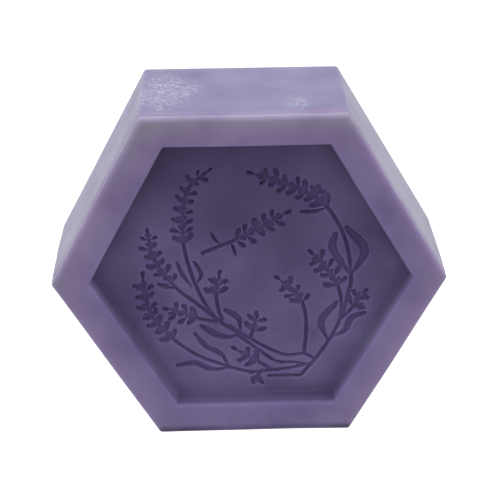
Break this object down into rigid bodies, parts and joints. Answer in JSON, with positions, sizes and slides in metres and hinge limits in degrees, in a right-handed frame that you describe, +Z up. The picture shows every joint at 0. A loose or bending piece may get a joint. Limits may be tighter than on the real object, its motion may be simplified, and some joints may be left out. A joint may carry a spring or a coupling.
{
  "type": "silicone soap mould",
  "caption": "Thick hexagonal soap mould cast in soft silicone, with a shallow open recess whose floor is engraved with a lavender wreath.",
  "frame": {"origin": "centre of the flat underside that the mould rests on", "axes": "+Z up, square to the underside, out of the open recess; +X towards one corner of the hexagon; +Y towards the flat wall at the top of the engraved picture"},
  "size_m": [0.0922, 0.0802, 0.036],
  "materials": {
    "silicone": "muted lavender pigmented silicone rubber, cast, semi-matt and faintly translucent at the edges"
  },
  "bodies": {
    "root": {"engraved_floor": "silicone", "base_block": "silicone", "wall_rear": "silicone", "wall_rear_right": "silicone", "wall_rear_left": "silicone", "wall_front": "silicone", "wall_front_right": "silicone", "wall_front_left": "silicone"}
  },
  "joints": []
}
